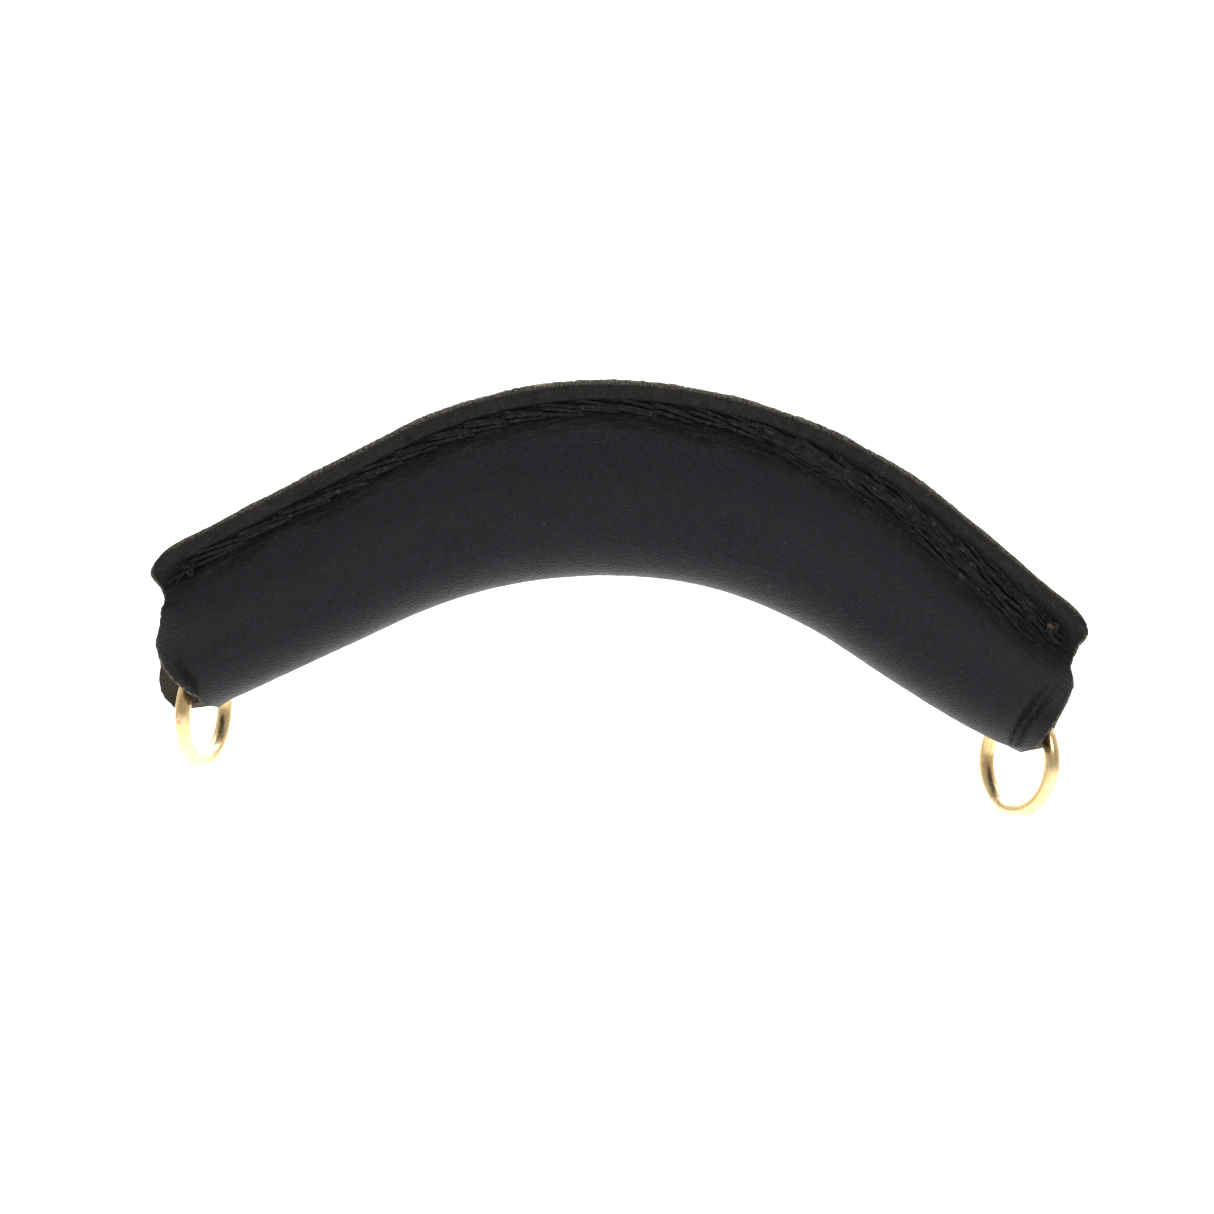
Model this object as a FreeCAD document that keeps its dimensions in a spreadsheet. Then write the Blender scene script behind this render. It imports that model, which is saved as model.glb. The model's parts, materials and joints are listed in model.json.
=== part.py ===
import FreeCAD, Part
import math
import os

# A small padded leather collar pad: one piece of leather folded round a roll of stuffing,
# sewn together along its outer edge, with a brass ring hanging at each lower corner.
#
# Frame, in millimetres: X runs along the width, Y from front (-Y) to back (+Y), +Z is up.
# The origin is the middle of the underside of the arch, where the pad bears on what it is laid over.

doc = FreeCAD.newDocument("collar_pad")
sheet = doc.addObject("Spreadsheet::Sheet", "dims")

DRIVING_DIMENSIONS = [
    ("tip_span", 150.0, "flange tip to flange tip"),
    ("centre_depth", 31.0, "underside to outer edge at the middle"),
    ("top_radius_left", 74.0, "outer edge, arc left of the middle"),
    ("top_radius_right", 90.0, "outer edge, arc right of the middle, fuller by hand work"),
    ("top_leg_slope_left", 30.6, "outer edge, straight left leg, degrees"),
    ("top_leg_slope_right", 36.5, "outer edge, straight right leg, degrees"),
    ("under_radius", 74.0, "underside, middle arc"),
    ("under_leg_slope", 28.5, "underside, straight legs, degrees"),
    ("pad_thickness", 13.0, "front to back over the stuffing"),
    ("leather_thickness", 1.25, "cover"),
    ("edge_gap", 0.2, "between the two leather edges in the flange"),
    ("flange_depth", 5.4, "flat double edge outside the stuffing"),
    ("seam_drop", 4.2, "outer edge to the stitch line"),
    ("stitch_count", 24.0, "stitches along the seam"),
    ("first_stitch_extra", 0.45, "the left end's first stitch over a usual one, as a share"),
    ("extra_fade", 2.2, "stitches over which that extra length fades"),
    ("thread_width", 1.5, "heavy waxed thread, as laid"),
    ("hole_allowance", 0.1, "awl hole over the thread, on the diameter"),
    ("seam_inset", 5.0, "outer tip to the first and last awl hole, along X"),
    ("tip_round", 3.6, "corner radius of the flange tip"),
    ("waist_step", 2.4, "flange tip in to the end below it"),
    ("waist_drop", 12.0, "flange tip down to that point"),
    ("corner_step", 3.0, "flange tip in to the lower corner"),
    ("corner_drop", 21.9, "origin down to the lower corner"),
    ("corner_round", 3.0, "corner radius of the lower corner"),
    ("heel_reach", 66.3, "middle of the pad to the end of the fold"),
    ("padding_gap", 0.15, "stuffing to leather"),
    ("crest_drop", 3.0, "end of the flange down to the stuffing's thin edge"),
    ("crest_half", 0.3, "half the thickness of the stuffing's thin edge"),
    ("padding_half_length", 56.0, "middle to the end of the stuffing"),
    ("ring_wire", 2.5, "brass wire diameter"),
    ("ring_radius", 8.0, "ring centre to wire centre"),
    ("ring_reach", 66.0, "middle of the pad to the ring's hanging point"),
    ("ring_eye_drop", 17.9, "origin down to the ring's hanging point"),
    ("ring_turn_left", 18.0, "left ring's wire from front-to-back, degrees"),
    ("ring_turn_right", 34.0, "right ring's wire from front-to-back, degrees"),
    ("ring_hole", 6.2, "hole in the back leather for the ring, worn wide"),
    ("ring_hole_rise", 0.9, "the wire's centre up to the hole's, as the ring bears on its rim"),
    ("mouth_start", 64.0, "middle of the pad to where the fold is cut open"),
    ("mouth_height", 19.0, "origin down to the top of the cut in the fold"),
    ("mouth_margin", 0.3, "cut in the fold to the inside of each wall"),
    ("knot_width", 2.4, "knot at each end of the thread"),
    ("thread_play", 0.05, "between one length of thread and the next"),
]

for row, (alias, value, meaning) in enumerate(DRIVING_DIMENSIONS, start=1):
    sheet.set("A%d" % row, alias)
    sheet.set("B%d" % row, str(value))
    sheet.set("C%d" % row, meaning)
    sheet.setAlias("B%d" % row, alias)
doc.recompute()


def dim(alias):
    return float(sheet.get(alias))


# ---------------------------------------------------------------- the arch's two edges

def arch_height(x, crown, radius, leg_slope):
    """Height at x of an arc about the middle that runs on into straight sloping legs."""
    slope = math.radians(leg_slope)
    arc_end = radius * math.sin(slope)
    reach = abs(x)
    if reach <= arc_end:
        return crown - radius + math.sqrt(radius ** 2 - reach ** 2)
    arc_drop = radius * (1 - math.cos(slope))
    return crown - arc_drop - (reach - arc_end) * math.tan(slope)


def top_curve(x):
    """Arc radius and leg slope of the outer edge on the side of the pad that x is on."""
    side = "left" if x < 0 else "right"
    return dim("top_radius_" + side), dim("top_leg_slope_" + side)


def top_height(x):
    return arch_height(x, dim("centre_depth"), *top_curve(x))


def under_height(x):
    return arch_height(x, 0.0, dim("under_radius"), dim("under_leg_slope"))


def top_slope(x):
    """Steepness of the outer edge at x, in radians."""
    radius, leg_slope = top_curve(x)
    return min(math.radians(leg_slope), math.asin(min(1.0, abs(x) / radius)))


# ---------------------------------------------------------------- cross-sections and lofts

STATIONS = [0, 12, 24, 33, 40, 47, 62]
TRIM_ALLOWANCE = 3.0
BELLY_FULLNESS = 0.5
NECK_FULLNESS = 0.3
BLOCK_DEPTH = 40.0
BLOCK_HEIGHT = 120.0
PLACE_TOLERANCE = 0.01


def teardrop(x, belly, neck, neck_depth, neck_end):
    """Closed section at x: a round fold of radius belly, a smooth shoulder and a flat neck.

    The neck runs from neck_depth to neck_end, both measured down from the outer edge.
    """
    fold_centre = under_height(x) + dim("pad_thickness") / 2
    neck_start = top_height(x) - neck_depth / math.cos(top_slope(x))
    top = top_height(x) - neck_end / math.cos(top_slope(x))
    shoulder = neck_start - fold_centre

    def at(y, z):
        return FreeCAD.Vector(x, y, z)

    def side(sign):
        curve = Part.BezierCurve()
        curve.setPoles([
            at(sign * belly, fold_centre),
            at(sign * belly, fold_centre + BELLY_FULLNESS * shoulder),
            at(sign * neck, neck_start - NECK_FULLNESS * shoulder),
            at(sign * neck, neck_start),
        ])
        return curve.toShape()

    fold = Part.Arc(at(-belly, fold_centre), at(0, fold_centre - belly), at(belly, fold_centre))
    edges = [
        fold.toShape(),
        side(1),
        Part.LineSegment(at(neck, neck_start), at(neck, top)).toShape(),
        Part.LineSegment(at(neck, top), at(-neck, top)).toShape(),
        Part.LineSegment(at(-neck, top), at(-neck, neck_start)).toShape(),
        side(-1),
    ]
    return Part.Wire(Part.__sortEdges__(edges))


def arch_loft(belly, neck, neck_depth, neck_end, end_x):
    """Solid through teardrop sections from -end_x to end_x."""
    places = [-end_x] + [-x for x in reversed(STATIONS[1:])] + STATIONS + [end_x]
    sections = [teardrop(x, belly, neck, neck_depth, neck_end) for x in places]
    return Part.makeLoft(sections, True, False)


def end_outline():
    """Front view of the pad's outer edge and its two cut ends, as a prism through the pad."""
    tip_x = dim("tip_span") / 2
    corner_x = tip_x - dim("corner_step")
    corner_z = -dim("corner_drop")
    heel_x = dim("heel_reach")

    def at(x, z):
        return FreeCAD.Vector(x, -BLOCK_DEPTH / 2, z)

    def on_top(x):
        return at(x, top_height(x))

    def side_points(sign):
        radius, leg_slope = top_curve(sign)
        return [
            on_top(sign * radius * math.sin(math.radians(leg_slope))),
            on_top(sign * tip_x),
            at(sign * (tip_x - dim("waist_step")), top_height(sign * tip_x) - dim("waist_drop")),
            at(sign * corner_x, corner_z),
            at(sign * heel_x, under_height(heel_x)),
            at(sign * heel_x, -BLOCK_HEIGHT / 2),
        ]

    right = side_points(1)
    left = side_points(-1)
    edges = []
    for side in (left, right):
        edges.append(Part.Arc(on_top(0), on_top(side[0].x / 2), side[0]).toShape())
    lines = right + left[::-1]
    edges += [Part.LineSegment(a, b).toShape() for a, b in zip(lines, lines[1:])]
    face = Part.Face(Part.Wire(Part.__sortEdges__(edges)))
    prism = face.extrude(FreeCAD.Vector(0, BLOCK_DEPTH, 0))

    def standing_edges(x, z):
        def stands_there(edge):
            return all(
                abs(vertex.X - x) < PLACE_TOLERANCE and abs(vertex.Z - z) < PLACE_TOLERANCE
                for vertex in edge.Vertexes)

        return [edge for edge in prism.Edges if stands_there(edge)]

    for sign in (-1, 1):
        tip = standing_edges(sign * tip_x, top_height(sign * tip_x))
        prism = prism.makeFillet(dim("tip_round"), tip)
        corner = standing_edges(sign * corner_x, corner_z)
        prism = prism.makeFillet(dim("corner_round"), corner)
    return prism


# ---------------------------------------------------------------- the seam

SEAM_STEPS = 600


def seam_point(x):
    """Point of the stitch line below the outer edge's point at x, in the middle plane."""
    slope = math.copysign(top_slope(x), x)
    drop = dim("seam_drop")
    return FreeCAD.Vector(x - drop * math.sin(slope), 0, top_height(x) - drop * math.cos(slope))


def seam_holes():
    """Awl holes along the stitch line. The first stitches at the left are longer."""
    end_x = dim("tip_span") / 2 - dim("seam_inset")
    samples = [seam_point(-end_x + 2 * end_x * i / SEAM_STEPS) for i in range(SEAM_STEPS + 1)]
    run = [0.0]
    for a, b in zip(samples, samples[1:]):
        run.append(run[-1] + a.distanceToPoint(b))
    count = int(dim("stitch_count"))
    lengths = [
        1 + dim("first_stitch_extra") * math.exp(-n / dim("extra_fade")) for n in range(count)]
    scale = run[-1] / sum(lengths)
    targets = [scale * sum(lengths[:n]) for n in range(count + 1)]
    return [samples[min(range(len(run)), key=lambda i: abs(run[i] - t))] for t in targets]


HOLES = seam_holes()
FLANGE_HALF = dim("leather_thickness") + dim("edge_gap") / 2
ALONG_Y = FreeCAD.Vector(0, 1, 0)


# ---------------------------------------------------------------- making document objects

def add_shape(name, shape):
    item = doc.addObject("Part::Feature", name)
    item.Label = name
    item.Shape = shape
    item.Placement = FreeCAD.Placement()
    return item


def label(item, name):
    item.Label = name
    return item


# ---------------------------------------------------------------- leather cover

def folded_leather():
    """The folded sheet before the ring holes: open at both ends and along the outer edge."""
    belly = dim("pad_thickness") / 2
    end_x = dim("tip_span") / 2 + TRIM_ALLOWANCE
    depth = dim("flange_depth")
    outside = arch_loft(belly, FLANGE_HALF, depth, -TRIM_ALLOWANCE, end_x)
    inside = arch_loft(
        belly - dim("leather_thickness"), dim("edge_gap") / 2, depth, -2 * TRIM_ALLOWANCE,
        end_x + TRIM_ALLOWANCE)
    sheet_solid = outside.cut(inside).common(end_outline())
    awl_radius = (dim("thread_width") + dim("hole_allowance")) / 2
    awl_holes = [
        Part.makeCylinder(awl_radius, 2 * belly, point - belly * ALONG_Y, ALONG_Y)
        for point in HOLES]
    return sheet_solid.cut(Part.makeCompound(awl_holes))


def ring_cutters():
    """Tools that open the fold at both corners and punch the ring holes in the back leather."""
    cutters = []
    for name, sign in (("left", -1), ("right", 1)):
        punch = doc.addObject("Part::Cylinder", "ring_hole_punch_" + name)
        punch.setExpression("Radius", "dims.ring_hole / 2")
        punch.setExpression("Height", "dims.pad_thickness")
        punch.Placement = FreeCAD.Placement(
            FreeCAD.Vector(0, 0, 0), FreeCAD.Rotation(FreeCAD.Vector(1, 0, 0), -90))
        punch.setExpression("Placement.Base.x", "%d * dims.ring_reach" % sign)
        punch.setExpression("Placement.Base.z", "dims.ring_hole_rise - dims.ring_eye_drop")
        cutters.append(punch)

        mouth = doc.addObject("Part::Box", "mouth_cutter_" + name)
        mouth.setExpression("Length", "dims.tip_span / 2 - dims.mouth_start")
        mouth.setExpression(
            "Width", "dims.pad_thickness - 2 * (dims.leather_thickness + dims.mouth_margin)")
        mouth.setExpression("Height", "dims.mouth_height")
        if sign > 0:
            mouth.setExpression("Placement.Base.x", "dims.mouth_start")
        else:
            mouth.setExpression("Placement.Base.x", "-dims.tip_span / 2")
        mouth.setExpression(
            "Placement.Base.y",
            "-(dims.pad_thickness / 2 - dims.leather_thickness - dims.mouth_margin)")
        mouth.setExpression("Placement.Base.z", "-2 * dims.mouth_height")
        cutters.append(mouth)
    fused = doc.addObject("Part::MultiFuse", "corner_cutters")
    fused.Shapes = cutters
    return fused


folded = add_shape("folded_leather_blank", folded_leather())
cover = doc.addObject("Part::Cut", "leather_cover")
cover.Base = folded
cover.Tool = ring_cutters()
label(cover, "leather_cover")


# ---------------------------------------------------------------- stuffing

def stuffing():
    """One roll of stuffing that fills the cover between the two ring corners."""
    belly = dim("pad_thickness") / 2 - dim("leather_thickness") - dim("padding_gap")
    crest = dim("flange_depth") + dim("crest_drop")
    roll = arch_loft(belly, dim("crest_half"), crest, crest - dim("crest_half"), dim("tip_span") / 2)
    half = dim("padding_half_length")
    corner = FreeCAD.Vector(-half, -BLOCK_DEPTH / 2, -BLOCK_HEIGHT / 2)
    return roll.common(Part.makeBox(2 * half, BLOCK_DEPTH, BLOCK_HEIGHT, corner))


padding = add_shape("padding_roll", stuffing())


# ---------------------------------------------------------------- brass rings

def hanging_ring(name, sign, turn_alias):
    """A ring that hangs plumb below its hole, its plane turned about the vertical."""
    ring = doc.addObject("Part::Torus", name)
    ring.setExpression("Radius1", "dims.ring_radius")
    ring.setExpression("Radius2", "dims.ring_wire / 2")
    position = "create(<<vector>>; %d * dims.ring_reach; %s; %s)" % (
        sign,
        "(dims.pad_thickness - dims.leather_thickness) / 2",
        "-dims.ring_eye_drop - dims.ring_radius",
    )
    turning = "create(<<rotation>>; %d * dims.%s; 90; 0)" % (sign, turn_alias)
    ring.setExpression("Placement", "create(<<placement>>; %s; %s)" % (position, turning))
    return label(ring, name)


ring_left = hanging_ring("ring_left", -1, "ring_turn_left")
ring_right = hanging_ring("ring_right", 1, "ring_turn_right")


# ---------------------------------------------------------------- thread

def stitches(side):
    """The stitches lying on one face of the flange, each between two thread passes."""
    radius = dim("thread_width") / 2
    lie = side * (FLANGE_HALF + radius) * ALONG_Y
    play = dim("thread_play")
    rods = []
    for a, b in zip(HOLES, HOLES[1:]):
        along = (b - a).normalize()
        start = a + lie + along * (radius + play)
        length = a.distanceToPoint(b) - 2 * (radius + play)
        rods.append(Part.makeCylinder(radius, length, start, along))
    return Part.makeCompound(rods)


def thread_passes():
    """The thread where it goes through the flange at every awl hole."""
    radius = dim("thread_width") / 2
    reach = FLANGE_HALF + 2 * radius
    pins = [Part.makeCylinder(radius, 2 * reach, p - reach * ALONG_Y, ALONG_Y) for p in HOLES]
    return Part.makeCompound(pins)


def end_knot(name, hole, outward):
    """The knot that stops the thread just outside the last hole, on the front of the flange."""
    knot = doc.addObject("Part::Sphere", name)
    knot.setExpression("Radius", "dims.knot_width / 2")
    play = dim("thread_play")
    radius = dim("knot_width") / 2
    beyond_hole = outward * (dim("thread_width") / 2 + radius + play)
    off_leather = ALONG_Y * (FLANGE_HALF + radius + play)
    knot.Placement = FreeCAD.Placement(hole + beyond_hole - off_leather, FreeCAD.Rotation())
    return label(knot, name)


front_stitches = add_shape("seam_stitches_front", stitches(-1))
back_stitches = add_shape("seam_stitches_back", stitches(1))
passes = add_shape("seam_thread_passes", thread_passes())
knot_left = end_knot("thread_knot_left", HOLES[0], (HOLES[0] - HOLES[1]).normalize())
knot_right = end_knot("thread_knot_right", HOLES[-1], (HOLES[-1] - HOLES[-2]).normalize())

SUB_PARTS = [
    cover,
    padding,
    ring_left,
    ring_right,
    front_stitches,
    back_stitches,
    passes,
    knot_left,
    knot_right,
]

# ---------------------------------------------------------------- check and write

doc.recompute()
for item in doc.Objects:
    if "Invalid" in item.State or "Error" in item.State:
        raise RuntimeError("%s did not compute: %s" % (item.Label, item.State))

os.makedirs("parts", exist_ok=True)
for item in SUB_PARTS:
    shape = item.Shape
    if shape.isNull() or not shape.isValid():
        raise RuntimeError("%s has no valid shape" % item.Label)
    box = shape.optimalBoundingBox(False, False)
    print("%-22s solids %2d  volume %9.1f  x %7.2f %7.2f  y %6.2f %6.2f  z %7.2f %6.2f" % (
        item.Label, len(shape.Solids), shape.Volume,
        box.XMin, box.XMax, box.YMin, box.YMax, box.ZMin, box.ZMax))
    shape.exportStep("parts/%s.step" % item.Label)
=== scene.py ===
"""Looks of a small padded leather collar: leather cover, stuffing, sewing thread and brass rings.

Shapes are worked out in millimetres in the CAD model's frame (X width, Y to the back, Z up) and
turned into metres when a mesh is made.
"""
import json
import math

import bmesh
import bpy
import numpy as np
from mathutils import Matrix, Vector, noise


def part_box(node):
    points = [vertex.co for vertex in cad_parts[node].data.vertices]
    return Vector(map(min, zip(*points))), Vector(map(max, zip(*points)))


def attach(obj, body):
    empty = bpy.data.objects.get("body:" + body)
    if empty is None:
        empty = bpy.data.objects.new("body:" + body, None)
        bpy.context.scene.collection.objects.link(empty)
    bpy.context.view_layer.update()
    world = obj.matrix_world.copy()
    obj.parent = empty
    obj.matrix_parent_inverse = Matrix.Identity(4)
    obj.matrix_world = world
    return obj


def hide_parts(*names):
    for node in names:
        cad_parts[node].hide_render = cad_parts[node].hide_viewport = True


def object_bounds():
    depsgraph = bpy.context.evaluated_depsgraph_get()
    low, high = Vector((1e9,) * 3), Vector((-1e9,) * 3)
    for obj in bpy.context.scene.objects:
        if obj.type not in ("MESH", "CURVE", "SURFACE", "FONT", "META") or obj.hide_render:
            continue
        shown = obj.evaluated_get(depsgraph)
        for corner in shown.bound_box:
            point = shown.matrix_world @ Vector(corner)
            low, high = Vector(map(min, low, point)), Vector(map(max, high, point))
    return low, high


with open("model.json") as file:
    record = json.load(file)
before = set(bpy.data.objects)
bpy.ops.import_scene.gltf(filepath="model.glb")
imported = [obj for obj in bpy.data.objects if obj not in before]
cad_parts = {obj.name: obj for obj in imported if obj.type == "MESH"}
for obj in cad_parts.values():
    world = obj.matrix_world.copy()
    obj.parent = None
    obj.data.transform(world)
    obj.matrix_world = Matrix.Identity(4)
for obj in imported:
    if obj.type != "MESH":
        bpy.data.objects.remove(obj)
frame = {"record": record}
cad_low, cad_high = [list(corner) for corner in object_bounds()]

MM = 0.001
RNG = np.random.default_rng(7)

# ------------------------------------------------------------------ driving sizes, millimetres

# From the frame: half the thickness over the stuffing, and the height of the outer edge.
_, BELLY, CROWN = np.array(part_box("leather_cover")[1]) / MM
TIP_REACH = 75.0
# The outer edge: an arc about the middle that runs on into a straight leg on each side.
TOP_RADIUS_LEFT, TOP_RADIUS_RIGHT = 74.0, 90.0
TOP_SLOPE_LEFT, TOP_SLOPE_RIGHT = math.radians(30.6), math.radians(36.5)
UNDER_RADIUS = 74.0
UNDER_SLOPE = math.radians(28.5)
LEATHER = 1.25
# From the middle plane to the outer face of each wall, where the two are sewn together.
NECK = 1.35
FLANGE_DEPTH = 5.4
# The stitch line runs this far below the outer edge and stops this far short of each tip.
SEAM_DROP = 4.2
SEAM_INSET = 5.0
STITCHES = 24
SEAM_PITCH = 6.2
# The first stitch at the left is this share longer, which fades over a few stitches.
FIRST_STITCH_EXTRA = 0.45
EXTRA_FADE = 2.2
STRAND_RADIUS = 0.33
STRAYS = 80
WIRE_RADIUS = 1.25
# How far the underside of the worn leather stands above its even curve, as (x, rise).
UNDER_SAG = [
    (-76, 0.0), (-62, -0.5), (-48, -0.7), (-20, -0.4), (0, 0.0), (16, 0.4), (32, 0.1),
    (48, -0.4), (56, -0.1), (62, 0.6), (68, 1.9), (76, 2.6)]
# Each ring's hole in the back wall: its radius and how far its middle is above the hinge.
RING_HOLE = 3.1
RING_HOLE_RISE = 0.9

FRONT = -1
BACK = 1


# ------------------------------------------------------------------ the arch

def arch_height(x, crown, radius, slope):
    """Height of an arc about the middle that runs on into straight sloping legs."""
    reach = np.abs(x)
    arc_end = radius * np.sin(slope)
    arc = crown - radius + np.sqrt(np.maximum(radius ** 2 - reach ** 2, 0.0))
    leg = crown - radius * (1 - np.cos(slope)) - (reach - arc_end) * np.tan(slope)
    return np.where(reach <= arc_end, arc, leg)


def top_curve(x):
    """Arc radius and leg slope of the outer edge on each point's side of the middle."""
    radius = np.where(x < 0, TOP_RADIUS_LEFT, TOP_RADIUS_RIGHT)
    return radius, np.where(x < 0, TOP_SLOPE_LEFT, TOP_SLOPE_RIGHT)


def top_height(x):
    """Height of the outer edge."""
    return arch_height(x, CROWN, *top_curve(x))


def under_height(x):
    """Height of the underside of the arch, with its sag."""
    return arch_height(x, 0.0, UNDER_RADIUS, UNDER_SLOPE) + smooth_steps(x, UNDER_SAG)


def top_tilt(x):
    """Signed steepness of the outer edge: positive to the right of the middle."""
    radius, slope = top_curve(x)
    return np.sign(x) * np.minimum(slope, np.arcsin(np.minimum(np.abs(x) / radius, 1.0)))


def seam_holes():
    """Awl holes along the stitch line, spaced as in the CAD model."""
    reach = TIP_REACH - SEAM_INSET
    x = np.linspace(-reach, reach, 601)
    tilt = top_tilt(x)
    line = np.stack(
        [x - SEAM_DROP * np.sin(tilt), top_height(x) - SEAM_DROP * np.cos(tilt)], axis=1)
    run = np.concatenate([[0], np.cumsum(np.linalg.norm(np.diff(line, axis=0), axis=1))])
    lengths = 1 + FIRST_STITCH_EXTRA * np.exp(-np.arange(STITCHES) / EXTRA_FADE)
    targets = np.concatenate([[0], np.cumsum(lengths)]) * run[-1] / lengths.sum()
    return np.stack([np.interp(targets, run, line[:, 0]), np.interp(targets, run, line[:, 1])], 1)


HOLES = seam_holes()
JOINTS = {joint["name"]: joint for joint in frame["record"]["behaviour"]["joints"]}
RING_REACH = JOINTS["ring_right_swing"]["pos_m"][0] / MM


def smooth_steps(value, points):
    """Smooth curve through (place, height) points, flat in slope beyond the first and last."""
    place, height = np.array(points, float).T
    slope = np.gradient(height, place)
    value = np.clip(value, place[0], place[-1])
    i = np.clip(np.searchsorted(place, value) - 1, 0, len(place) - 2)
    width = place[i + 1] - place[i]
    t = (value - place[i]) / width
    return (
        (2 * t ** 3 - 3 * t ** 2 + 1) * height[i] + (t ** 3 - 2 * t ** 2 + t) * width * slope[i]
        + (3 * t ** 2 - 2 * t ** 3) * height[i + 1] + (t ** 3 - t ** 2) * width * slope[i + 1])


def bump(value, centre, width):
    """1 at the centre, fading to 0 on both sides."""
    return np.exp(-((value - centre) / width) ** 2)


def field(x, y, scale, seed, octaves=3):
    """Smooth seeded noise over a surface, about -1 to 1."""
    flat = np.stack([np.ravel(x) / scale, np.ravel(y) / scale], axis=1)
    values = [noise.fractal(Vector((a, b, seed)), 0.9, 2.0, octaves) for a, b in flat]
    return np.array(values).reshape(np.shape(x))


# ------------------------------------------------------------------ meshes

def make_mesh(name, points_mm, faces):
    """A smooth-shaded piece from points in millimetres."""
    mesh = bpy.data.meshes.new(name)
    mesh.from_pydata((np.asarray(points_mm) * MM).tolist(), [], faces)
    mesh.update()
    mesh.polygons.foreach_set("use_smooth", [True] * len(mesh.polygons))
    piece = bpy.data.objects.new(name, mesh)
    bpy.context.scene.collection.objects.link(piece)
    return piece


def face_outward(piece):
    """Turn every face of a closed mesh to the outside, as the hole cutting needs."""
    shape = bmesh.new()
    shape.from_mesh(piece.data)
    bmesh.ops.recalc_face_normals(shape, faces=shape.faces)
    shape.to_mesh(piece.data)
    shape.free()


def grid_faces(rows, columns, first=0, flip=False):
    """Quads between the points of a grid whose points start at index first."""
    faces = []
    for r in range(rows - 1):
        for c in range(columns - 1):
            a = first + r * columns + c
            quad = (a, a + 1, a + columns + 1, a + columns)
            faces.append(quad[::-1] if flip else quad)
    return faces


def set_mask(piece, name, values):
    """Give each point a value that a material can read by name."""
    layer = piece.data.attributes.new(name, "FLOAT", "POINT")
    layer.data.foreach_set("value", np.asarray(values, np.float32).ravel())


# ------------------------------------------------------------------ leather cover

COLUMNS = 460
FLANGE_ROWS = 36
SHOULDER_ROWS = 34
FOLD_ROWS = 14
# Inside this share of the reach the grid's columns are upright; past it they follow the ends.
STRAIGHT_SHARE = 0.7
SHOULDER_CROWDING = 1.35
# Where the depth of a row is measured, to look up where that row ends.
PROBE_REACH = 70.0

# Where each wall ends, as (share of the depth from the outer edge, reach in millimetres).
LEFT_TIP = [
    (0.0, 72.2), (0.01, 73.2), (0.03, 74.2), (0.06, 74.8), (0.10, 74.8), (0.14, 74.3),
    (0.19, 73.4), (0.24, 72.8)]
RIGHT_TIP = [
    (0.0, 72.3), (0.02, 73.6), (0.04, 74.4), (0.07, 74.8), (0.11, 74.6), (0.19, 73.5),
    (0.25, 72.9), (0.32, 72.5)]
END_LINES = {
    ("left", FRONT): LEFT_TIP + [
        (0.34, 72.8), (0.52, 72.9), (0.62, 71.9), (0.70, 70.7), (0.77, 69.2), (0.86, 67.2),
        (0.93, 65.7), (0.975, 64.6), (1.0, 63.4)],
    ("left", BACK): LEFT_TIP + [
        (0.34, 72.8), (0.52, 73.0), (0.68, 73.3), (0.79, 72.7), (0.87, 71.4), (0.915, 70.1),
        (0.945, 67.6), (0.97, 65.2), (1.0, 63.4)],
    ("right", FRONT): RIGHT_TIP + [
        (0.45, 72.6), (0.565, 71.8), (0.66, 70.8), (0.776, 69.5), (0.85, 68.6), (0.93, 67.5),
        (1.0, 65.6)],
    ("right", BACK): RIGHT_TIP + [
        (0.45, 72.5), (0.60, 72.1), (0.72, 71.6), (0.81, 71.0), (0.87, 70.5), (0.91, 69.9),
        (0.95, 68.3), (1.0, 65.6)],
}


def wall_rows():
    """Places down one wall: ("flange", depth), ("shoulder", share) and ("fold", angle)."""
    rows = [("flange", FLANGE_DEPTH * i / FLANGE_ROWS) for i in range(FLANGE_ROWS)]
    rows += [("shoulder", (i / SHOULDER_ROWS) ** SHOULDER_CROWDING) for i in range(SHOULDER_ROWS)]
    rows += [("fold", math.pi / 2 * i / FOLD_ROWS) for i in range(FOLD_ROWS + 1)]
    return rows


def wall_point(kind, place, x, belly=BELLY, neck=NECK):
    """Distance from the middle plane and height of one place down a wall, at each x."""
    fold_centre = under_height(x) + BELLY
    neck_start = top_height(x) - FLANGE_DEPTH / np.cos(top_tilt(x))
    rise = neck_start - fold_centre
    if kind == "flange":
        return np.full_like(x, neck), top_height(x) - place / np.cos(top_tilt(x))
    if kind == "fold":
        return belly * np.cos(place) + 0 * x, fold_centre - belly * np.sin(place)
    t = place
    weights = ((1 - t) ** 3, 3 * t * (1 - t) ** 2, 3 * t ** 2 * (1 - t), t ** 3)
    y = weights[0] * neck + weights[1] * neck + weights[2] * belly + weights[3] * belly
    z = (weights[0] * neck_start + weights[1] * (neck_start - 0.3 * rise)
         + weights[2] * (fold_centre + 0.5 * rise) + weights[3] * fold_centre)
    return y + 0 * x, z


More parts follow.
